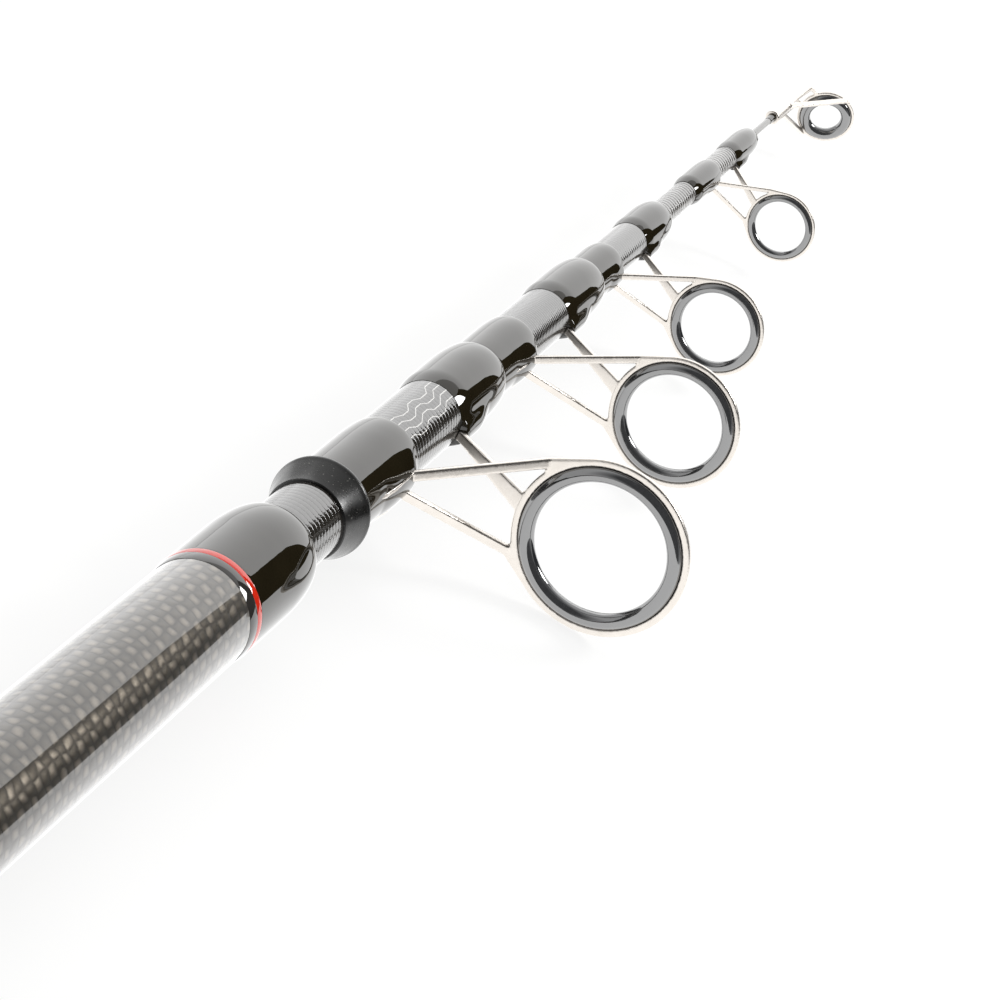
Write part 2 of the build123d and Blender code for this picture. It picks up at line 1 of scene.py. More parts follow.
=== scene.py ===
# %% [markdown]
# A telescopic fishing rod, pushed together for transport.
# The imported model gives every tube, ring and fitting at its true place and size. This lesson
# dresses it: it models what shows as smooth, fine pieces, gives each a finish worked out from
# the real material, and lights it like a product picture. Everything is in metres, in the
# model's own frame: X runs from the butt to the tip, Z is up, and the first guide points to -Y.

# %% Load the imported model
from math import atan2, ceil, cos, degrees, hypot, pi, radians, sin

import bpy
from mathutils import Matrix, Vector


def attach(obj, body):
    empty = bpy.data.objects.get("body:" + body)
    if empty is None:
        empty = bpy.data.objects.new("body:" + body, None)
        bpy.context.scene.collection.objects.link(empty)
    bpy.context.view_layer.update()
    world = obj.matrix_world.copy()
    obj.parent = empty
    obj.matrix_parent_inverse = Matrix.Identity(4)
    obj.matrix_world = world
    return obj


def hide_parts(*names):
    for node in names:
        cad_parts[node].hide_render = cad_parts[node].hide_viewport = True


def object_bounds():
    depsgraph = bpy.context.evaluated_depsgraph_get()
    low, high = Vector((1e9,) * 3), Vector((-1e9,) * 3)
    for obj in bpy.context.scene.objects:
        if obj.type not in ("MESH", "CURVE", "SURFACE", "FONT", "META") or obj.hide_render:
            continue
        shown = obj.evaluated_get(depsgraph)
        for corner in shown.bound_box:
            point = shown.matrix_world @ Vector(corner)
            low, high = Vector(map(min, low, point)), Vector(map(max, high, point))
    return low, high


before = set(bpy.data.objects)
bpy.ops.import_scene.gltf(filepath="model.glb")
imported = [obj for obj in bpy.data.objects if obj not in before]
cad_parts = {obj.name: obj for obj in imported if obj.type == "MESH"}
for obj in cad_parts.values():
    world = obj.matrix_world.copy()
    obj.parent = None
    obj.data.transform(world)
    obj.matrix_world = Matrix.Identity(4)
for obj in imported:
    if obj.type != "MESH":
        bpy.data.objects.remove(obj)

scene = bpy.context.scene
scene.view_settings.view_transform = "Standard"
cad_box = [list(corner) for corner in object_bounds()]
mm = 0.001
print("model box in mm:", [[round(v / mm, 1) for v in corner] for corner in cad_box])

# %% [markdown]
# Colours are easiest to judge as the sRGB hex values that a picture shows. Blender's sockets
# take linear light, so one function turns one into the other, and it is used for every colour.

# %% Turn a hex colour into linear light
def colour(code):
    """Return linear RGBA for an sRGB hex colour such as "E8E0D6"."""
    parts = [int(code[i:i + 2], 16) / 255 for i in (0, 2, 4)]
    return tuple(p / 12.92 if p <= 0.04045 else ((p + 0.055) / 1.055) ** 2.4 for p in parts) + (1.0,)


print("mid grey is", round(colour("808080")[0], 3), "in linear light")

# %% [markdown]
# A material is a small tree of nodes. One function adds a node, sets it up, and either links or
# sets its inputs, and a second one starts a material from the Principled shader. Patterns are
# laid out in millimetres of the piece itself, from its Object coordinates, so a thread or a
# weave has its real size and stays with the piece when a section slides out.

# %% Add a node, and start a material
def add(tree, kind, inputs=None, **settings):
    """Add one node, with its settings, and link or set each of its inputs."""
    node = tree.nodes.new("ShaderNode" + kind)
    for name, value in settings.items():
        setattr(node, name, value)
    for key, value in (inputs or {}).items():
        if isinstance(value, bpy.types.NodeSocket):
            tree.links.new(value, node.inputs[key])
        else:
            node.inputs[key].default_value = value
    return node.outputs


def material(name, **values):
    """Start a material on the Principled shader, with the values that are the same all over."""
    new = bpy.data.materials.new(name)
    new.use_nodes = True
    tree = new.node_tree
    shader = tree.nodes["Principled BSDF"].inputs
    for key, value in values.items():
        shader[key.replace("_", " ")].default_value = value
    return new, tree, shader


def place_in_mm(tree):
    """Return the place on the rod in mm."""
    return add(tree, "VectorMath", {0: add(tree, "TexCoord")["Object"], "Scale": 1 / mm},
               operation="SCALE")["Vector"]


def way_along(tree, place):
    """Return how far along the rod a place is, in mm."""
    return add(tree, "SeparateXYZ", {0: place})["X"]


def turns_round(tree, place):
    """Return the angle of a place around the rod, in turns from -0.5 to 0.5."""
    axes = add(tree, "SeparateXYZ", {0: place})
    angle = add(tree, "Math", {0: axes["Z"], 1: axes["Y"]}, operation="ARCTAN2")[0]
    return add(tree, "Math", {0: angle, 1: 2 * pi}, operation="DIVIDE")[0]


print("node helpers ready")

# %% [markdown]
# The camera stands where the photographer stood: behind the butt, above and to the left of the
# rod, looking along it. Its place was solved from the round guide rings, which show as
# ellipses, and from the tubes' edges. It is a long lens near by, so the butt looks much
# thicker than the tip.

# %% Place the camera
camera_right = Vector((0.3370, -0.8567, 0.3905)).normalized()
camera_up = Vector((0.3249, 0.4950, 0.8058)).normalized()
camera_back = camera_right.cross(camera_up)
view = bpy.data.cameras.new("camera")
view.sensor_fit = "HORIZONTAL"
view.sensor_width = 36.0
view.lens = 136.8
view.clip_start = 0.01
camera = bpy.data.objects.new("camera", view)
scene.collection.objects.link(camera)
turn = Matrix((camera_right, camera_up, camera_back)).transposed().to_4x4()
camera.matrix_world = Matrix.Translation((-0.0061, -0.0965, 0.2436)) @ turn
scene.camera = camera
print("camera at", [round(v, 3) for v in camera.matrix_world.translation])

# %% [markdown]
# The rod lies on a pale sheet in a bright room of white cloth. More light on the rod would
# bleach it, so the floor and the world are white to the camera and in mirrors alone, and light
# the rod more softly than they look. A colour then renders about as it is written, and the
# floor still takes the rod's faint shadow. In mirrors the room is dark high up behind the
# camera, where such a room is open, and the sheet, which lies right in the light, is brighter
# than white.

# %% Lay the floor and the white surroundings
world = bpy.data.worlds.new("white room")
scene.world = world
world.use_nodes = True
tree = world.node_tree
rays = add(tree, "LightPath")
seen = add(tree, "Math", {0: rays["Is Camera Ray"], 1: rays["Is Transmission Ray"]}, operation="ADD",
           use_clamp=True)[0]
plain = add(tree, "MapRange", {"Value": seen, "To Min": 0.58, "To Max": 1.0})[0]
high_behind = add(tree, "VectorMath", {0: add(tree, "TexCoord")["Generated"], 1: (-0.55, -0.45, 0.70)},
                  operation="DOT_PRODUCT")["Value"]
mirrored = add(tree, "MapRange", {"Value": high_behind, "From Min": 0.32, "From Max": 0.68, "To Min": 1.0,
                                  "To Max": 0.10})[0]
strength = add(tree, "Mix", {0: rays["Is Glossy Ray"], 2: plain, 3: mirrored})[0]
tree.links.new(strength, tree.nodes["Background"].inputs["Strength"])
tree.nodes["Background"].inputs["Color"].default_value = colour("FFFFFF")

rod_underside, floor_gap = cad_box[0][2], 0.05 * mm
bpy.ops.object.select_all(action="DESELECT")
bpy.ops.mesh.primitive_plane_add(size=8.0, location=(0.35, 0, rod_underside - floor_gap))
floor = bpy.context.object
floor.name = "floor"
floor_paper, tree, shader = material("matt white paper", Base_Color=colour("828281"), Roughness=0.95,
                                     Specular_IOR_Level=0.0)
rays = add(tree, "LightPath")
seen = add(tree, "Math", {0: rays["Is Camera Ray"], 1: rays["Is Transmission Ray"]}, operation="ADD",
           use_clamp=True)[0]
plain = add(tree, "MapRange", {"Value": seen, "To Min": 0.45, "To Max": 0.79})[0]
glow = add(tree, "Mix", {0: rays["Is Glossy Ray"], 2: plain, 3: 1.5})[0]
tree.links.new(glow, shader["Emission Strength"])
shader["Emission Color"].default_value = colour("FFFFFF")
floor.data.materials.append(floor_paper)
print("floor at", round((rod_underside - floor_gap) / mm, 2), "mm")

# %% [markdown]
# Black gloss shows nothing but its surroundings, so the lamps are shaped for what the lacquer
# mirrors. A large soft box ahead of the tip gives the long pale sheen, a dark card beside it
# gives the narrow black stripe down the rod, and a small lamp before the card gives the bright
# points. The card is seen in mirrors alone and takes no light from the rod. The soft light
# overhead isn't seen in mirrors, so it only lifts the shadows.

# %% Set the lamps and the dark card
def lamp(name, place, aim, wide, high, radiance):
    """Hang one rectangular lamp, turned to its aim; its power follows from how bright it looks."""
    data = bpy.data.lights.new(name, "AREA")
    data.shape = "RECTANGLE"
    data.size, data.size_y = wide, high
    data.energy = radiance * wide * high * pi
    hung = bpy.data.objects.new(name, data)
    scene.collection.objects.link(hung)
    hung.location = place
    hung.rotation_euler = (Vector(aim) - Vector(place)).to_track_quat("-Z", "Y").to_euler()
    hung.visible_camera = False
    return hung


rod_middle = (0.5, 0, 0)
lamp("soft box ahead", (2.4, 0.40, 0.77), rod_middle, 2.8, 1.6, 1.2)
lamp("soft top", (0.35, 0, 1.6), (0.35, 0, 0), 2.0, 2.0, 0.7).visible_glossy = False
lamp("small lamp", (1.496, -0.904, 0.867), rod_middle, 0.42, 0.42, 20.0)

bpy.ops.object.select_all(action="DESELECT")
bpy.ops.mesh.primitive_plane_add(size=1.0, location=(0, 0, 0))
card = bpy.context.object
card.name = "dark_card"
card.scale = (2.0, 1.6, 1.0)
card.location = (1.722, -1.503, 0.8)
card.rotation_euler = (pi / 2, 0, radians(55))
card_paper, tree, shader = material("black card", Base_Color=colour("0A0A08"), Roughness=1.0,
                                    Specular_IOR_Level=0.0)
card.data.materials.append(card_paper)
card.visible_camera = card.visible_diffuse = card.visible_shadow = card.visible_transmission = False

# %% [markdown]
# Almost every piece of a rod is turned: it is round about the rod's own axis. It could be a
# curve with a lathe modifier, but drawing it as rings shows the outline point by point: a
# circle at the first point, extruded and scaled to each next one. An outline that comes back to
# its first point makes a closed tube with a bore, and a filled circle makes a solid piece.

# %% Turn a piece about the rod
def shade(angle):
    """Smooth the active piece, and keep edges sharper than the angle crisp."""
    bpy.ops.object.shade_smooth_by_angle(angle=radians(angle))


def turned(name, outline, sides=96, solid=False):
    """Turn a piece from (x, radius) points in mm."""
    bpy.ops.object.select_all(action="DESELECT")
    at, radius = outline[0]
    bpy.ops.mesh.primitive_circle_add(vertices=sides, radius=radius * mm, location=(at * mm, 0, 0),
                                      rotation=(0, pi / 2, 0), fill_type="NGON" if solid else "NOTHING")
    piece = bpy.context.object
    piece.name = piece.data.name = name
    bpy.ops.object.transform_apply(location=True, rotation=True, scale=True)
    bpy.ops.object.mode_set(mode="EDIT")
    bpy.ops.mesh.select_all(action="SELECT")
    for x, r in outline[1:]:
        bpy.ops.mesh.extrude_region_move(TRANSFORM_OT_translate={"value": ((x - at) * mm, 0, 0)})
        bpy.ops.transform.resize(value=(1, r / radius, r / radius), center_override=(x * mm, 0, 0))
        at, radius = x, r
    bpy.ops.mesh.select_all(action="SELECT")
    bpy.ops.mesh.remove_doubles(threshold=0.001 * mm)
    bpy.ops.mesh.normals_make_consistent(inside=False)
    bpy.ops.object.mode_set(mode="OBJECT")
    shade(32)
    return piece


def rounded(x, r, along, out, steps=5):
    """Return a quarter round from (x, r - out) to (x + along, r); a negative along turns it back."""
    arc = [(x + along * (1 - cos(i / steps * pi / 2)), r - out + out * sin(i / steps * pi / 2))
           for i in range(steps + 1)]
    return arc if along > 0 else arc[::-1]


def placed(piece, body, slot, finish, *nodes):
    """Let a piece ride on its body, stand for its nodes, and take its finish."""
    piece.data.materials.clear()
    piece.data.materials.append(finish)
    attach(piece, body)
    if nodes:
        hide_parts(*nodes)
    print(piece.name, "with", len(piece.data.polygons), "faces")


print("a rounded edge:", [(round(x, 2), round(r, 2)) for x, r in rounded(0, 8, 0.3, 0.3, 2)])

# %% [markdown]
# The butt tube's outer layer is carbon cloth under a clear lacquer, in plain weave: flat
# bundles of fibres, tows, cross over one and under one. A picture of cloth would do, but nodes
# stay sharp at any distance: counting the tows both ways gives each crossing, and whether the
# sum of the counts is even says which tow is on top there. Carbon fibres mirror light like a
# dark metal, and to their sides; that sheen is painted into the colour here: the tows along the
# rod get a lighter colour, a painted sheen, and the ones round it a darker one, painted shade.
# Each tow is a soft pillow that bumps the cloth, under a smooth clear coat. The cloth was laid by
# hand, so a slow noise lets the tows wander by a part of their width.

# %% Weave the carbon cloth
def pillow_of(tree, across, along):
    """Return how high a tow stands on top of a crossing, from the place across and along the tow."""
    flatter_across, flatter_along = 0.85, 0.95
    arches = []
    for share, flat in ((across, flatter_across), (along, flatter_along)):
        half_turn = add(tree, "Math", {0: share, 1: pi}, operation="MULTIPLY")[0]
        arch = add(tree, "Math", {0: half_turn}, operation="SINE", use_clamp=True)[0]
        arches.append(add(tree, "Math", {0: arch, 1: flat}, operation="POWER")[0])
    return add(tree, "Math", {0: arches[0], 1: arches[1]}, operation="MULTIPLY")[0]


def woven_carbon(tow_width, tows_round):
    """Plain weave under clear lacquer: the tows' width in mm along the rod, their number round it."""
    cloth, tree, shader = material("woven carbon under clear lacquer", Metallic=0.9,
                                   Coat_Weight=1.0, Coat_Roughness=0.03, Coat_IOR=1.52)
    place = place_in_mm(tree)
    wander = add(tree, "TexNoise", {"Vector": place, "Scale": 0.45, "Detail": 1.0})["Fac"]
    rows = add(tree, "Math", {0: way_along(tree, place), 1: tow_width}, operation="DIVIDE")[0]
    rows = add(tree, "Math", {0: wander, 1: 0.8, 2: rows}, operation="MULTIPLY_ADD")[0]
    # two turns are added, so that no count is below zero
    columns = add(tree, "Math", {0: turns_round(tree, place), 1: tows_round, 2: 2 * tows_round},
                  operation="MULTIPLY_ADD")[0]
    columns = add(tree, "Math", {0: wander, 1: -0.7, 2: columns}, operation="MULTIPLY_ADD")[0]
    row = add(tree, "Math", {0: rows}, operation="FLOOR")[0]
    column = add(tree, "Math", {0: columns}, operation="FLOOR")[0]
    both = add(tree, "Math", {0: row, 1: column}, operation="ADD")[0]
    odd = add(tree, "Math", {0: both, 1: 2.0}, operation="MODULO")[0]
    in_row = add(tree, "Math", {0: rows}, operation="FRACT")[0]
    in_column = add(tree, "Math", {0: columns}, operation="FRACT")[0]
    along_rod = pillow_of(tree, in_column, in_row)
    round_rod = pillow_of(tree, in_row, in_column)
    pillow = add(tree, "Mix", {0: odd, 2: along_rod, 3: round_rod})[0]
    long_grain = add(tree, "VectorMath", {0: place, 1: (0.5, 6.0, 6.0)}, operation="MULTIPLY")["Vector"]
    fibres = add(tree, "TexNoise", {"Vector": long_grain, "Scale": 1.0, "Detail": 2.0})["Fac"]
    streak = add(tree, "MapRange", {"Value": fibres, "From Min": 0.3, "From Max": 0.7, "To Max": 0.35})[0]
    # painted sheen: the tows along the rod get lighter colours than the same tows round it, which are painted
    # darker as painted shade
    sheen_painted_tow = add(tree, "Mix", {0: streak, 6: colour("676056"), 7: colour("504A40")}, data_type="RGBA")[2]
    tow = add(tree, "Mix", {0: odd, 6: sheen_painted_tow, 7: colour("3D3830")}, data_type="RGBA")[2]
    gap = add(tree, "MapRange", {"Value": pillow, "From Min": 0.08, "From Max": 0.95})[0]
    base = add(tree, "Mix", {0: gap, 6: colour("2A2620"), 7: tow}, data_type="RGBA")[2]
    tree.links.new(base, shader["Base Color"])
    uneven = add(tree, "TexNoise", {"Vector": place, "Scale": 0.35, "Detail": 2.0})["Fac"]
    rough = add(tree, "MapRange", {"Value": uneven, "To Min": 0.34, "To Max": 0.42})[0]
    tree.links.new(rough, shader["Roughness"])
    bump = add(tree, "Bump", {"Height": pillow, "Strength": 0.8, "Distance": 0.04 * mm})["Normal"]
    tree.links.new(bump, shader["Normal"])
    return cloth


woven = woven_carbon(tow_width=1.85, tows_round=32.0)
print(woven.name, len(woven.node_tree.nodes), "nodes")

# %% [markdown]
# A winding is thread wound round the rod and drowned in epoxy lacquer, which levels to black
# glass. What little shows of it is a slow unevenness from brushing and, below, the fine rings
# of the thread. One glossy layer would do for the mirror, but a base under a clear coat keeps
# the two apart. The thread is about 0.15 mm thick, too fine for this view, so it is drawn at
# 0.3 mm, and it bumps the base alone. Lacquer has soaked it, so the base has no gloss of its
# own, which at a flat angle would lay a grey veil over the black.

# %% Mix the winding lacquer
def winding_lacquer(name, dark, light):
    """Black or coloured epoxy over fine thread, brushed on and levelled, in two near tones."""
    thread_pitch = 0.30
    lacquer, tree, shader = material(name, Roughness=0.45, IOR=1.5, Specular_IOR_Level=0.0,
                                     Coat_Weight=1.0, Coat_Roughness=0.012, Coat_IOR=1.56)
    place = place_in_mm(tree)
    swing = add(tree, "Math", {0: way_along(tree, place), 1: 2 * pi / thread_pitch},
                operation="MULTIPLY")[0]
    thread = add(tree, "Math", {0: swing}, operation="SINE")[0]
    clouds = add(tree, "TexNoise", {"Vector": place, "Scale": 0.22, "Detail": 1.0})["Fac"]
    cloudy = add(tree, "Mix", {0: clouds, 6: colour(dark), 7: colour(light)}, data_type="RGBA")[2]
    tree.links.new(cloudy, shader["Base Color"])
    bump = add(tree, "Bump", {"Height": thread, "Strength": 0.5, "Distance": 0.01 * mm})["Normal"]
    tree.links.new(bump, shader["Normal"])
    level = add(tree, "Bump", {"Height": clouds, "Strength": 0.35, "Distance": 0.06 * mm})["Normal"]
    tree.links.new(level, shader["Coat Normal"])
    return lacquer


black_lacquer = winding_lacquer("black epoxy winding lacquer", "1A160D", "241F14")
red_enamel = winding_lacquer("red enamel", "D8301C", "C42614")
grey_band = winding_lacquer("dark grey gloss band", "2C2A28", "363432")
print("lacquers:", black_lacquer.name, red_enamel.name, grey_band.name)

# %% [markdown]
# The inner sections are carbon sheet that was rolled on a steel rod and bound with a narrow
# shrinking tape while it cured. The tape leaves a ring at each turn, a crest and a narrow
# groove, some hundredths of a millimetre deep. A real tape spiral is so slow that rings stand
# for it. These tubes have no clear coat: it is the cured carbon itself that shines, and
# graphite in resin mirrors more than resin does, which an IOR of 2.1 stands for. Fine grain
# runs along the tube, and each ring's gloss differs a little. On the second section four thin
# pale lines run along the tube and step sideways together, as plain trim.

# %% Draw the pale lines, and bind the taped carbon
def stepped_lines(tree, place, base, start, side_steps, spacing, girth):
    """Draw four thin pale lines over base, from start mm on and spacing mm apart round the girth."""
    x = way_along(tree, place)
    across = add(tree, "Math", {0: turns_round(tree, place), 1: girth / spacing}, operation="MULTIPLY")[0]
    for first, last, aside in side_steps:
        stepped = add(tree, "MapRange", {"Value": x, "From Min": first, "From Max": last, "To Max": aside})[0]
        across = add(tree, "Math", {0: across, 1: stepped}, operation="ADD")[0]
    nearest = add(tree, "Math", {0: across}, operation="ROUND")[0]
    off_line = add(tree, "Math", {0: across, 1: nearest}, operation="SUBTRACT")[0]
    off_line = add(tree, "Math", {0: off_line}, operation="ABSOLUTE")[0]
    thin = add(tree, "MapRange", {"Value": off_line, "From Min": 0.03, "From Max": 0.08, "To Min": 1.0,
                                  "To Max": 0.0})[0]
    # lines 6 to 9 of those round the tube lie on its upper side
    upper = add(tree, "Math", {0: nearest, 1: 7.5, 2: 1.6}, operation="COMPARE")[0]
    ahead = add(tree, "Math", {0: x, 1: start}, operation="GREATER_THAN")[0]
    shown = add(tree, "Math", {0: thin, 1: upper}, operation="MULTIPLY")[0]
    shown = add(tree, "Math", {0: shown, 1: ahead}, operation="MULTIPLY")[0]
    return add(tree, "Mix", {0: shown, 6: base, 7: colour("CBC9C5")}, data_type="RGBA")[2]


def taped_carbon(name, pitch, depth, crest_tone, flat=0.35, lines=None):
    """Bare cured carbon with tape rings pitch mm apart and depth mm deep, their grooves painted dark as
    painted shade; a small flat widens the crests.
    """
    tube, tree, shader = material(name, IOR=2.1)
    place = place_in_mm(tree)
    step = add(tree, "Math", {0: way_along(tree, place), 1: pitch}, operation="DIVIDE")[0]
    swing = add(tree, "Math", {0: step, 1: pi}, operation="MULTIPLY")[0]
    wave = add(tree, "Math", {0: swing}, operation="SINE")[0]
    wave = add(tree, "Math", {0: wave}, operation="ABSOLUTE")[0]
    crest = add(tree, "Math", {0: wave, 1: flat}, operation="POWER")[0]
    ring = add(tree, "Math", {0: step}, operation="FLOOR")[0]
    each = add(tree, "TexWhiteNoise", {"W": ring}, noise_dimensions="1D")["Value"]
    long_grain = add(tree, "VectorMath", {0: place, 1: (0.08, 1.6, 1.6)}, operation="MULTIPLY")["Vector"]
    grain = add(tree, "TexNoise", {"Vector": long_grain, "Scale": 1.0, "Detail": 3.0})["Fac"]
    # painted shade: the grooves, only hundredths of a millimetre deep, are painted near black and the crests
    # in the tube's tone
    base = add(tree, "Mix", {0: crest, 6: colour("12110F"), 7: colour(crest_tone)}, data_type="RGBA")[2]
    streak = add(tree, "MapRange", {"Value": grain, "From Min": 0.35, "From Max": 0.7, "To Max": 0.5})[0]
    base = add(tree, "Mix", {0: streak, 6: base, 7: colour("24211E")}, data_type="RGBA")[2]
    if lines:
        base = stepped_lines(tree, place, base, **lines)
    tree.links.new(base, shader["Base Color"])
    rough = add(tree, "MapRange", {"Value": each, "To Min": 0.04, "To Max": 0.10})[0]
    tree.links.new(rough, shader["Roughness"])
    rings = add(tree, "Bump", {"Height": crest, "Strength": 1.0, "Distance": depth * mm})["Normal"]
    bump = add(tree, "Bump", {"Height": grain, "Strength": 0.8, "Distance": 0.05 * mm,
                              "Normal": rings})["Normal"]
    tree.links.new(bump, shader["Normal"])
    return tube


# each side step: where it starts and ends in mm, and how many line spacings it goes aside
pale_lines = {"start": 470.6, "spacing": 1.45, "girth": 38.6,
              "side_steps": ((472.5, 474.5, -0.5), (476.5, 478.5, 0.7), (480.5, 482.0, -0.5),
                             (484.5, 486.5, 0.8))}
taped_2 = taped_carbon("taped carbon with pale stepped lines", 1.1, 0.022, "2E2B27", lines=pale_lines)
taped_3 = taped_carbon("taped carbon, fine rings", 0.7, 0.020, "2E2B27")
taped_4 = taped_carbon("taped carbon, rubbed smooth", 0.9, 0.010, "3A3733")
taped_5 = taped_carbon("taped carbon, coarse rings", 1.1, 0.06, "57534E", flat=0.8)
tip_carbon = taped_carbon("ground solid carbon", 0.6, 0.004, "5A5752")
print("taped carbon:", taped_2.name, taped_3.name, taped_4.name, taped_5.name, tip_carbon.name)

# %% [markdown]
# The guide frames are stamped from sheet metal, bent, tumbled and plated to a warm satin.
# Tumbling rounds the edges and leaves a very fine, even grain, so the metal is pale with a
# soft sheen, not a mirror. The rings are fired ceramic, ground and polished: nearly black,
# but so dense that they mirror more than glass does, which an IOR of 2.65 gives.

# %% Plate the frames and fire the rings
def satin_plating():
    """Warm satin nickel over stamped steel, tumbled."""
    metal, tree, shader = material("satin plated stamped steel", Metallic=1.0)
    place = place_in_mm(tree)
    clouds = add(tree, "TexNoise", {"Vector": place, "Scale": 0.6, "Detail": 3.0})["Fac"]
    tint = add(tree, "Mix", {0: clouds, 6: colour("C3BDB6"), 7: colour("CFCAC4")},
               data_type="RGBA")[2]
    tree.links.new(tint, shader["Base Color"])
    grain = add(tree, "TexNoise", {"Vector": place, "Scale": 9.0, "Detail": 2.0})["Fac"]
    rough = add(tree, "MapRange", {"Value": grain, "From Min": 0.3, "From Max": 0.7, "To Min": 0.24,
                                   "To Max": 0.36})[0]
    tree.links.new(rough, shader["Roughness"])
    bump = add(tree, "Bump", {"Height": grain, "Strength": 0.3, "Distance": 0.01 * mm})["Normal"]
    tree.links.new(bump, shader["Normal"])
    return metal


def fired_ceramic():
    """Dense dark ceramic, ground and polished, with a little clouding left by the grinding."""
    ceramic, tree, shader = material("polished dark ceramic", IOR=2.65)
    place = place_in_mm(tree)
    clouds = add(tree, "TexNoise", {"Vector": place, "Scale": 1.2, "Detail": 3.0})["Fac"]
    tint = add(tree, "Mix", {0: clouds, 6: colour("1E1F21"), 7: colour("3C3D40")},
               data_type="RGBA")[2]
    tree.links.new(tint, shader["Base Color"])
    rough = add(tree, "MapRange", {"Value": clouds, "From Min": 0.3, "From Max": 0.7, "To Min": 0.03,
                                   "To Max": 0.10})[0]
    tree.links.new(rough, shader["Roughness"])
    return ceramic


plating, ceramic = satin_plating(), fired_ceramic()
print("guides:", plating.name, "and", ceramic.name)

# %% [markdown]
# The handle has finishes of its own. The grips are closed-cell EVA foam, ground to shape, so
# cut cells pit the surface; a cell is about 0.3 mm wide and is drawn at 0.5 mm. The reel seat
# is nylon filled with graphite, moulded satin black. Collar, bumper and pad are moulded too.

# %% Cut the foam and mould the plastics
def eva_foam():
    """Ground closed-cell foam: dull charcoal, pitted by cut cells, with painted shade in the pits."""
    foam, tree, shader = material("ground EVA foam", Specular_IOR_Level=0.35, IOR=1.45)
    place = place_in_mm(tree)
    cells = add(tree, "TexVoronoi", {"Vector": place, "Scale": 2.0})["Distance"]
    pit = add(tree, "MapRange", {"Value": cells, "From Min": 0.05, "From Max": 0.45})[0]
    clouds = add(tree, "TexNoise", {"Vector": place, "Scale": 0.12, "Detail": 2.0})["Fac"]
    rubbed = add(tree, "Mix", {0: clouds, 6: colour("26272A"), 7: colour("333437")},
                 data_type="RGBA")[2]
    # painted shade: the pits of the cut cells are painted darker than the rubbed foam around them
    tint = add(tree, "Mix", {0: pit, 6: colour("161719"), 7: rubbed}, data_type="RGBA")[2]
    tree.links.new(tint, shader["Base Color"])
    rough = add(tree, "MapRange", {"Value": clouds, "To Min": 0.80, "To Max": 0.92})[0]
    tree.links.new(rough, shader["Roughness"])
    bump = add(tree, "Bump", {"Height": pit, "Strength": 0.7, "Distance": 0.08 * mm})["Normal"]
    tree.links.new(bump, shader["Normal"])
    return foam


def moulded(name, dark, light, smooth, dull, speck=None, grain=5.0, **values):
    """Moulded plastic or rubber: two near tones, a fine moulded grain, and dust if speck is given."""
    plastic, tree, shader = material(name, **values)
    place = place_in_mm(tree)
    clouds = add(tree, "TexNoise", {"Vector": place, "Scale": 0.5, "Detail": 3.0})["Fac"]
    tint = add(tree, "Mix", {0: clouds, 6: colour(dark), 7: colour(light)},
               data_type="RGBA")[2]
    if speck:
        dust = add(tree, "TexNoise", {"Vector": place, "Scale": 3.2, "Detail": 1.0})["Fac"]
        dust = add(tree, "MapRange", {"Value": dust, "From Min": 0.70, "From Max": 0.74})[0]
        tint = add(tree, "Mix", {0: dust, 6: tint, 7: colour(speck)}, data_type="RGBA")[2]
    tree.links.new(tint, shader["Base Color"])
    rough = add(tree, "MapRange", {"Value": clouds, "From Min": 0.3, "From Max": 0.7, "To Min": smooth,
                                   "To Max": dull})[0]
    tree.links.new(rough, shader["Roughness"])
    fine = add(tree, "TexNoise", {"Vector": place, "Scale": grain, "Detail": 2.0})["Fac"]
    bump = add(tree, "Bump", {"Height": fine, "Strength": 0.35, "Distance": 0.02 * mm})["Normal"]
    tree.links.new(bump, shader["Normal"])
    return plastic


foam = eva_foam()
collar_plastic = moulded("moulded satin black nylon", "0E0E0D", "151514", 0.22, 0.32, "6E6C68", IOR=1.50)
seat_plastic = moulded("graphite filled nylon", "1B1C1D", "262728", 0.32, 0.42, IOR=1.53)
rubber = moulded("moulded black rubber", "17181A", "202123", 0.65, 0.80, IOR=1.52)
pad_rubber = moulded("soft grey rubber", "2C2D2F", "38393B", 0.78, 0.90, grain=2.5, IOR=1.52)
print("mouldings:", foam.name, collar_plastic.name, seat_plastic.name, rubber.name, pad_rubber.name)

# %% [markdown]
# The fittings of the handle are metal, and what the eye reads is how each was worked. Turned
# pieces keep fine rings from the cutting tool, brushed hoods keep scratches round the rod, and
# a dark anodised coat dulls both. The rings are noise that changes quickly along the rod and
# slowly round it, about 0.2 mm apart.

# %% Turn, brush and anodise the fittings
def worked_metal(name, dark, light, smooth, dull, depth):
    """Metal with fine rings from turning or brushing, depth mm deep."""
    metal, tree, shader = material(name, Metallic=1.0)
    place = place_in_mm(tree)
    rings = add(tree, "TexNoise", {"Vector": add(tree, "VectorMath", {0: place, 1: (5.0, 0.15, 0.15)},
                                                 operation="MULTIPLY")["Vector"],
                                   "Scale": 1.0, "Detail": 3.0})["Fac"]
    clouds = add(tree, "TexNoise", {"Vector": place, "Scale": 0.25, "Detail": 2.0})["Fac"]
    tint = add(tree, "Mix", {0: clouds, 6: colour(dark), 7: colour(light)},
               data_type="RGBA")[2]
    tree.links.new(tint, shader["Base Color"])
    rough = add(tree, "MapRange", {"Value": rings, "From Min": 0.3, "From Max": 0.7, "To Min": smooth,
                                   "To Max": dull})[0]
    tree.links.new(rough, shader["Roughness"])
    bump = add(tree, "Bump", {"Height": rings, "Strength": 0.5, "Distance": depth * mm})["Normal"]
    tree.links.new(bump, shader["Normal"])
    return metal


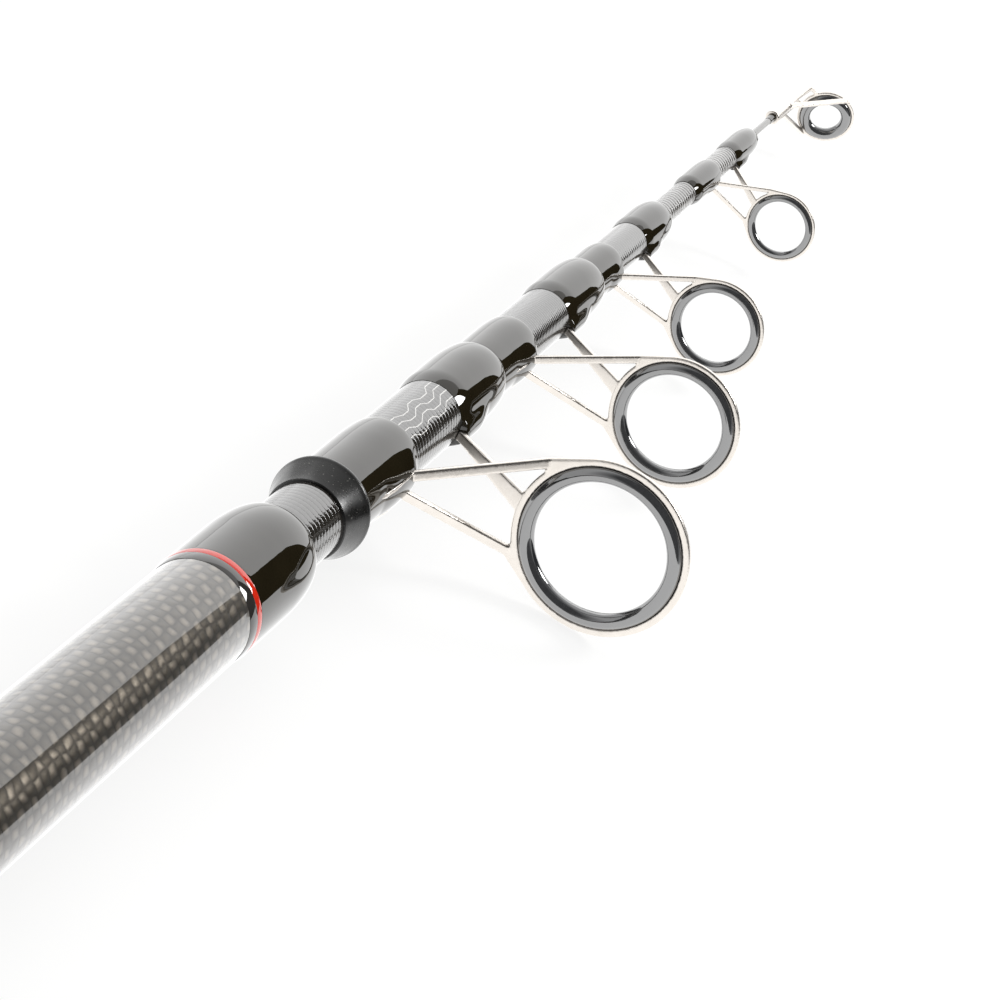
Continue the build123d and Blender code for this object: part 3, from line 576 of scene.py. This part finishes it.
brushed_steel = worked_metal("brushed stainless steel", "C9C6C1", "D6D3CE", 0.22, 0.36, 0.010)
anodised_dark = worked_metal("dark anodised aluminium", "3C3D40", "47484B", 0.30, 0.42, 0.008)
anodised_bright = worked_metal("bright anodised aluminium", "DAD7D2", "E4E1DC", 0.16, 0.26, 0.008)
machined = worked_metal("machined aluminium", "CFCDC9", "DCDAD6", 0.25, 0.38, 0.015)
print("metals:", brushed_steel.name, anodised_dark.name, anodised_bright.name, machined.name)

# %% [markdown]
# Now the tubes. Each blank is a thin cone with a bore, open at both ends. The butt's thicker
# rear holds the threaded insert, and every front end is thinned under its winding's nose, so
# that the mouth shows as a fine lip. All sections start on the rubber pad inside the butt.

# %% Roll the blanks
def cone(start, radius, taper):
    """Return the radius along a straight taper."""
    return lambda x: radius - taper * (x - start)


rest_face, mouth_wall = 25.0, 0.2
butt_rear, butt_mouth, butt_nose = 7.0, 430.0, 9.0
butt_outer, butt_inner = cone(butt_rear, 8.4, 0.7 / 423.0), cone(butt_mouth, 6.3, 0.0018)
# a winding is its start, end and radius; a guide is its ring's radius, wall, place and height
# over the rod's axis, its turn round the rod and the ring's lean, all in mm and degrees
sections = {
    2: {"outer": cone(rest_face, 6.36, 0.0018), "inner": cone(509.0, 5.0, 0.0010), "mouth": 509.0,
        "rear": (448.6, 470.5, 6.30), "front": (489.2, 509.0, 6.15), "finish": taped_2,
        "guide": {"ring": 12.5, "wall": 2.4, "x": 480.2, "height": 33.1, "turn": 0.0, "lean": 0.0}},
    3: {"outer": cone(rest_face, 5.015, 0.0010), "inner": cone(560.1, 4.02, 0.0010), "mouth": 560.1,
        "rear": (509.5, 525.3, 5.15), "front": (541.5, 560.1, 5.05), "finish": taped_3,
        "guide": {"ring": 9.9, "wall": 2.1, "x": 532.5, "height": 27.8, "turn": 1.4, "lean": 0.0}},
    4: {"outer": cone(rest_face, 4.032, 0.0010), "inner": cone(600.7, 2.85, 0.0010), "mouth": 600.7,
        "rear": (560.6, 572.0, 4.05), "front": (585.7, 600.7, 3.95), "finish": taped_4,
        "guide": {"ring": 7.75, "wall": 1.7, "x": 579.0, "height": 21.1, "turn": 7.6, "lean": 0.0}},
    5: {"outer": cone(rest_face, 2.860, 0.0010), "inner": cone(659.0, 1.55, 0.0012), "mouth": 659.0,
        "rear": (618.3, 633.2, 2.85), "front": (644.0, 659.0, 2.65), "finish": taped_5,
        "guide": {"ring": 6.0, "wall": 1.3, "x": 637.9, "height": 16.1, "turn": 14.7, "lean": 0.0}},
}
tip_top = {"ring": 5.05, "wall": 2.1, "x": 700.0, "height": 6.7, "turn": 28.0, "lean": 24.0}


def between(start, end, apart):
    """Return stations from start to end, both kept, no more than apart mm apart."""
    count = max(1, ceil(abs(end - start) / apart))
    return [start + (end - start) * i / count for i in range(count + 1)]


def blank(name, outer, inner, mouth, nose, rear, rear_bore, sides):
    """Roll one hollow blank, from its rear end to its thinned mouth and back along the bore."""
    rear_edge, station_gap, bore_gap = 0.3, 40.0, 80.0
    outside = [(x, outer(x)) for x in between(rear + rear_edge, mouth - nose, station_gap)]
    inside = [(x, inner(x)) for x in between(mouth, rear, bore_gap)]
    edge = [(rear, rear_bore), (rear, outer(rear) - rear_edge / 2)]
    mouth_edge = [(mouth, inner(mouth) + mouth_wall)]
    return turned(name, edge + outside + mouth_edge + inside[:-1] + [edge[0]], sides)


front_nose_share = 0.42
butt_tube = blank("butt_tube", butt_outer, butt_inner, butt_mouth, butt_nose, butt_rear, rear_bore=7.42,
                  sides=96)
placed(butt_tube, "butt", "carbon", woven, "butt_blank")
for number, section in sections.items():
    start, end, radius = section["front"]
    tube = blank(f"section_{number}_tube", section["outer"], section["inner"], section["mouth"],
                 front_nose_share * (end - start), rest_face, section["inner"](rest_face), sides=72)
    placed(tube, f"section_{number}", "carbon", section["finish"], f"section_{number}_blank")

# %% [markdown]
# The last section is a solid carbon rod, thin enough to bend in the hand. Its rear end is a
# plug that jams in the section before, and from there it tapers finely to the tip-top.

# %% Grind the tip rod
plug_radius, plug_end = cone(rest_face, 1.562, 0.0012), 85.0
tip_outline = [(rest_face, 1.3), (25.3, plug_radius(25.3)), (plug_end, plug_radius(plug_end)),
               (sections[5]["mouth"], 0.70), (685.4, 0.62)]
tip_rod = turned("tip_rod", tip_outline, 48, solid=True)
placed(tip_rod, "tip", "carbon", tip_carbon, "tip_blank")

# %% [markdown]
# A winding is turned like the rest, then given what makes it a winding: an edge, a slight crown
# and a nose that rolls down to the blank's mouth. Where lacquer ran out freely at the rear, it
# climbs slowly from the tube. Over a guide's foot it stands higher. That ridge could be a second
# piece, but lacquer has no seam: it is painted as vertex weights, by how far each point of the
# shell lies below the foot, and a Displace modifier lifts it, so it melts into the rest.

# %% Wind and lacquer
sunk = 0.03


def winding(name, start, end, radius, under, nose, lip, mouth, climb=0.0):
    """Turn one winding: up its rear edge, over its crown, down its nose and back along the blank."""
    crown, edge, station_gap, climb_steps, nose_steps = 0.06, 0.14, 0.55, 10, 20
    outline, low = [(start, under(start) - sunk)], radius - crown
    if climb:
        foot = under(start) + 0.05
        for i in range(climb_steps + 1):
            raised = (low - foot) * sin(pi / 2 * i / climb_steps)
            outline.append((start + climb * i / climb_steps, foot + raised))
    else:
        outline += rounded(start, low, edge, edge)
    shoulder = end - nose
    first = outline[-1][0]
    for x in between(first, shoulder, station_gap)[1:]:
        outline.append((x, radius - crown * (1 - sin(pi / 2 * (x - first) / (shoulder - first)))))
    for i in range(1, nose_steps):
        angle = i * pi / 2 / nose_steps
        outline.append((shoulder + nose * sin(angle), lip + (radius - lip) * cos(angle)))
    outline += [(end, lip - 0.04), (end, mouth), (shoulder, under(shoulder) - sunk), outline[0]]
    return turned(name, outline, 128)


def raise_over_foot(piece, lifted, half_width, under, turn):
    """Lift the lacquer on the -Y side to lifted(x), in mm from the axis, then turn it to its guide."""
    bpy.ops.object.select_all(action="DESELECT")
    piece.select_set(True)
    bpy.context.view_layer.objects.active = piece
    foot = piece.vertex_groups.new(name="over the foot")
    most, bore_margin, side_power = 2.0, 0.05, 1.5
    for vertex in piece.data.vertices:
        x, y, z = vertex.co / mm
        reach = hypot(y, z)
        if y > 0 or reach < under(x) + bore_margin:
            continue
        side = min(1.0, abs(z) / half_width)
        share = max(0.0, lifted(x) - reach) / most * (0.5 + 0.5 * cos(pi * side ** side_power))
        if share > 0:
            foot.add([vertex.index], share, "REPLACE")
    lift = piece.modifiers.new("lacquer over the foot", "DISPLACE")
    lift.direction, lift.mid_level, lift.strength = "Y", 0.0, -most * mm
    lift.vertex_group = foot.name
    bpy.ops.object.modifier_apply(modifier=lift.name)
    piece.rotation_euler = (radians(turn), 0, 0)
    bpy.ops.object.transform_apply(location=False, rotation=True, scale=False)
    shade(50)
    return piece


def eased(value):
    """Return a smooth step from 0 to 1."""
    value = min(1.0, max(0.0, value))
    return value * value * (3 - 2 * value)


sheet_share, foot_height_share, lacquer_cover = 0.088, 0.75, 0.4


def foot_height(guide):
    """Return how high the lacquer stands over a guide's foot, from the foot's own height."""
    return foot_height_share * sheet_share * guide["ring"] + lacquer_cover


def rear_wrap(name, section, climb_share):
    """Wind over the rear foot, whose ridge rises slowly and ends where the legs bend away."""
    bend_share, nose_share, lip_share, half_width_share, hurry, past_bend = 0.16, 0.36, 0.35, 0.85, 1.2, 0.8
    outer, guide = section["outer"], section["guide"]
    start, end, radius = section["rear"]
    long = end - start
    bend = end - bend_share * long
    lip = outer(end) + lip_share * (radius - outer(end))
    wrap = winding(name, start, end, radius, outer, nose_share * long, lip, outer(end) - sunk,
                   climb=climb_share * long)

    def lifted(x):
        rise = eased((x - start) / (bend - start) * hurry)
        fall = eased((x - bend - past_bend) / (end - bend - past_bend))
        return outer(x) + foot_height(guide) * rise * (1 - fall)

    return raise_over_foot(wrap, lifted, half_width_share * outer(bend), outer, guide["turn"])


def front_wrap(name, section, climb_share):
    """Wind over the front foot, whose ridge starts high at the rear edge and sinks away."""
    mouth_lip, ahead, rise_length, extra = 0.12, 0.6, 1.2, 0.2
    fall_start_share, fall_share, half_width_share = 0.3, 0.45, 0.52
    outer, guide = section["outer"], section["guide"]
    start, end, radius = section["front"]
    long = end - start
    mouth = section["inner"](section["mouth"]) + mouth_wall
    wrap = winding(name, start, end, radius, outer, front_nose_share * long, mouth + mouth_lip, mouth,
                   climb=climb_share * long)

    def lifted(x):
        rise = eased((x - start + ahead) / rise_length)
        fall = eased((x - start - fall_start_share * long) / (fall_share * long))
        return outer(x) + (foot_height(guide) + extra) * rise * (1 - fall)

    return raise_over_foot(wrap, lifted, half_width_share * outer(start), outer, guide["turn"])


butt_wrap = winding("butt_wrap", 408.7, butt_mouth, 8.0, butt_outer, butt_nose, lip=6.62, mouth=6.5)
placed(butt_wrap, "butt", "lacquer", black_lacquer, "butt_winding")
free_edge_share = 0.2
for number, section in sections.items():
    rear_share = free_edge_share if number == 5 else 0.0
    placed(rear_wrap(f"section_{number}_rear_wrap", section, rear_share), f"section_{number}", "lacquer",
           black_lacquer, f"section_{number}_rear_winding")
    placed(front_wrap(f"section_{number}_front_wrap", section, free_edge_share), f"section_{number}",
           "lacquer", black_lacquer, f"section_{number}_front_winding")

# %% [markdown]
# Behind the butt's winding lie a red ring and a dark band, trim that is wound and lacquered in
# its own colour. Ahead of it a moulded collar keeps the second section from sliding in too
# far, and a few turns of lacquered thread hold the tip-top's tube.

# %% Add the trim, the collar and the tip's winding
def band(name, start, end, rear, front):
    """Turn a narrow band that slopes from its rear radius to its front one, with fine round edges."""
    edge, steps = 0.03, 3
    outline = [(start, butt_outer(start) - sunk)] + rounded(start, rear, edge, edge, steps)
    outline += rounded(end, front, -edge, edge, steps) + [(end, butt_outer(end) - sunk), outline[0]]
    return turned(name, outline, 128)


placed(band("red_trim", 407.5, 408.7, 7.98, 8.05), "butt", "red_ring", red_enamel, "red_ring")
placed(band("grey_trim", 405.6, 407.5, 7.77, 7.98), "butt", "dark_band", grey_band, "dark_band")

outer_2 = sections[2]["outer"]
collar_rear, collar_front, bevel = 442.5, 448.5, 0.15
neck, flare_radius, flare_length, flare_steps = outer_2(collar_rear) + 0.4, 7.40, 4.6, 8
collar_outline = [(collar_rear, outer_2(collar_rear) - sunk), (collar_rear, neck - bevel),
                  (collar_rear + bevel, neck)]
for i in range(1, flare_steps + 1):
    share = i / flare_steps
    collar_outline.append((collar_rear + bevel + flare_length * share,
                           neck + (flare_radius - neck) * share ** 1.15))
collar_outline += [(447.45, 7.50), (447.7, 7.55), (447.95, 7.52), (448.3, 7.35), (collar_front, 7.05),
                   (collar_front, outer_2(collar_front) - sunk), collar_outline[0]]
placed(turned("collar", collar_outline, 128), "section_2", "collar", collar_plastic, "section_2_collar")

thread_start, thread_length, thread_turns, thread_height = 672.4, 3.0, 12, 0.015
thread_outline = [(thread_start, 0.62), (thread_start, 0.70)]
for i in range(1, thread_turns + 1):
    share = i / thread_turns
    thread_outline.append((thread_start + thread_length * share,
                           0.72 + 0.16 * share ** 2 + thread_height * (i % 2)))
thread_outline += [(thread_start + thread_length, 0.62), thread_outline[0]]
placed(turned("tip_thread", thread_outline, 48), "tip", "lacquer", black_lacquer, "tip_winding")

# %% [markdown]
# A guide's frame is one piece of sheet with sharp sheared edges, which tumbling rounds. The
# solid from the model has the true legs, feet and ring band, so a copy of it is merged and
# remeshed with fine voxels, and a smoothing pass does the tumbling: the edges turn into small
# rounds that catch the light, which no shading trick on the sharp solid would show. Before
# that, each corner between an upper leg and the ring's band is filled by a convex hull over
# the points around it, so that the edge runs through in one line, as it is stamped.

# %% Tumble the guide frames
def ring_centre(guide):
    """Return the centre of a guide's ring in metres."""
    turn = radians(guide["turn"])
    return Vector((guide["x"], -guide["height"] * cos(turn), -guide["height"] * sin(turn))) * mm


def fill_ears(piece, guide):
    """Fill the corner where each upper leg of a guide meets its ring's band."""
    joint_reach, joint_angle, joint_round = 1.15, radians(147), 0.1
    band_from, band_to, band_inside, band_depth = 104, 120, 1.06, 0.06
    centre, ring = ring_centre(guide), guide["ring"] * mm
    outward = Vector((0, -cos(radians(guide["turn"])), -sin(radians(guide["turn"]))))
    across = Vector((0, -outward.z, outward.y))
    for hand in (-1, 1):
        joint = centre + joint_reach * ring * (cos(joint_angle) * outward + hand * sin(joint_angle) * across)
        for part in (piece.data.polygons, piece.data.edges):
            part.foreach_set("select", [False] * len(part))
        for vertex in piece.data.vertices:
            arm = (vertex.co - centre) / ring
            angle = degrees(atan2(hand * arm.dot(across), arm.dot(outward)))
            on_band = (band_from < angle < band_to and abs(arm.x) < band_depth
                       and hypot(arm.y, arm.z) > band_inside)
            vertex.select = on_band or (vertex.co - joint).length < joint_round * ring
        bpy.ops.object.mode_set(mode="EDIT")
        bpy.ops.mesh.duplicate()
        bpy.ops.mesh.convex_hull()
        bpy.ops.object.mode_set(mode="OBJECT")


def tumbled(name, node, voxel, passes, guide=None):
    """Copy a sheet-metal solid, fill a guide's ears, remesh it finely and round its edges."""
    bpy.ops.object.select_all(action="DESELECT")
    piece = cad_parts[node].copy()
    piece.data = piece.data.copy()
    piece.name = piece.data.name = name
    piece.parent = None
    for key in list(piece.keys()):
        del piece[key]
    scene.collection.objects.link(piece)
    piece.select_set(True)
    bpy.context.view_layer.objects.active = piece
    bpy.ops.object.mode_set(mode="EDIT")
    bpy.ops.mesh.select_all(action="SELECT")
    bpy.ops.mesh.remove_doubles(threshold=0.002 * mm)
    bpy.ops.object.mode_set(mode="OBJECT")
    if guide:
        fill_ears(piece, guide)
    remesh = piece.modifiers.new("fine voxels", "REMESH")
    remesh.mode, remesh.voxel_size = "VOXEL", voxel * mm
    bpy.ops.object.modifier_apply(modifier=remesh.name)
    smooth = piece.modifiers.new("tumbling", "SMOOTH")
    smooth.factor, smooth.iterations = 0.5, passes
    bpy.ops.object.modifier_apply(modifier=smooth.name)
    bpy.ops.object.shade_smooth()
    return piece


for number, section in sections.items():
    guide, name = section["guide"], f"guide_{number - 1}"
    fine = 0.0144 * guide["ring"]
    placed(tumbled(f"{name}_stamping", f"{name}_frame", fine, 9, guide), f"section_{number}", "guide_metal",
           plating, f"{name}_frame")
placed(tumbled("tip_top_stamping", "tip_top_frame", 0.12, 4), "tip", "guide_metal", plating, "tip_top_frame")

# %% [markdown]
# A ceramic ring is pressed, fired and polished, and its section is a rounded rectangle, a
# little deeper than its wall. A torus comes close, so it is one torus whose section is
# stretched along the ring's own axis before the ring is turned and set in its frame.

# %% Set the ceramic rings
def ceramic_ring(name, guide):
    """Make one ring about X, stretch its section, lean it back, turn it to its guide and place it."""
    ring_depth_share = 1.2
    tube = guide["wall"] / 2
    bpy.ops.object.select_all(action="DESELECT")
    bpy.ops.mesh.primitive_torus_add(major_segments=112, minor_segments=28,
                                     major_radius=(guide["ring"] - tube) * mm, minor_radius=tube * mm,
                                     location=(0, 0, 0), rotation=(0, pi / 2, 0))
    piece = bpy.context.object
    piece.name = piece.data.name = name
    bpy.ops.object.transform_apply(location=True, rotation=True, scale=True)
    bpy.ops.object.mode_set(mode="EDIT")
    bpy.ops.mesh.select_all(action="SELECT")
    bpy.ops.transform.resize(value=(ring_depth_share, 1, 1), center_override=(0, 0, 0))
    bpy.ops.object.mode_set(mode="OBJECT")
    piece.matrix_world = (Matrix.Translation(ring_centre(guide))
                          @ Matrix.Rotation(radians(guide["turn"]), 4, "X")
                          @ Matrix.Rotation(radians(guide["lean"]), 4, "Z"))
    bpy.ops.object.transform_apply(location=True, rotation=True, scale=True)
    bpy.ops.object.shade_smooth()
    return piece


for number, section in sections.items():
    name = f"guide_{number - 1}"
    placed(ceramic_ring(f"{name}_ceramic", section["guide"]), f"section_{number}", "ceramic", ceramic,
           f"{name}_ring")
placed(ceramic_ring("tip_top_ceramic", tip_top), "tip", "ceramic", ceramic, "tip_top_ring")

# %% [markdown]
# The grips are foam tubes ground on the rod, so they are turned too: a long gentle waist for
# the hand and well rounded ends. The outline runs through three radii, so it is the parabola
# through them. The rubber bumper is a disc with two moulded grooves, and the pad that the
# sections rest on is a plain rubber disc with soft edges.

# %% Grind the grips and mould the rubber
def grip(name, start, end, rear, waist, front):
    """Turn a foam grip whose outline passes through three radii, with rounded ends."""
    round_off, round_steps, foam_sunk, station_gap = 1.6, 8, 0.02, 3.0
    first, last = start + round_off, end - round_off
    outline = [(start, butt_outer(start) - foam_sunk)]
    outline += rounded(start, rear, round_off, round_off, round_steps)
    for x in between(first, last, station_gap)[1:-1]:
        t = (x - first) / (last - first)
        outline.append((x, rear * (1 - t) * (1 - 2 * t) + waist * 4 * t * (1 - t) + front * t * (2 * t - 1)))
    outline += rounded(end, front, -round_off, round_off, round_steps)
    return turned(name, outline + [(end, butt_outer(end) - foam_sunk), outline[0]], 96)


rear_foam = grip("rear_foam", butt_rear, 110.0, rear=13.6, waist=12.1, front=12.9)
fore_foam = grip("fore_foam", 248.0, 296.0, rear=12.9, waist=11.1, front=10.2)
placed(rear_foam, "butt", "foam", foam, "rear_grip")
placed(fore_foam, "butt", "foam", foam, "fore_grip")

bumper_outline = [(2.6, 9.95), (0.6, 10.0), (0.15, 9.8), (0.0, 9.35), (0.0, 7.2), (0.35, 7.0), (0.35, 6.6),
                  (0.0, 6.4), (0.0, 4.2), (0.35, 4.0), (0.35, 3.6), (0.0, 3.4), (0.0, 0.4)]
placed(turned("bumper_disc", bumper_outline, 72, solid=True), "cap", "bumper", rubber, "butt_bumper")
pad_outline = [(21.0, 5.9), (21.1, 6.15), (21.4, 6.2), (24.3, 6.2), (24.8, 6.05), (rest_face, 5.6)]
rest_pad = turned("rest_pad", pad_outline, 72, solid=True)
placed(rest_pad, "pad", "pad", pad_rubber, "buffer_pad")

# %% [markdown]
# The rest of the handle keeps the model's own solids, because their shapes are already right:
# the threaded seat, its hoods and nut, the cap with its plug, the insert and the checks. They
# only need their finishes.

# %% Finish the fittings that stay
kept = {"reel_seat": seat_plastic, "fixed_hood": brushed_steel, "sliding_hood": brushed_steel,
        "locking_nut": anodised_dark, "butt_cap": anodised_dark, "butt_insert": machined,
        "rear_check": anodised_bright, "middle_check": anodised_bright, "front_check": anodised_bright}
for node, finish in kept.items():
    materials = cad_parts[node].data.materials
    materials.clear()
    materials.append(finish)
print("kept:", ", ".join(kept))
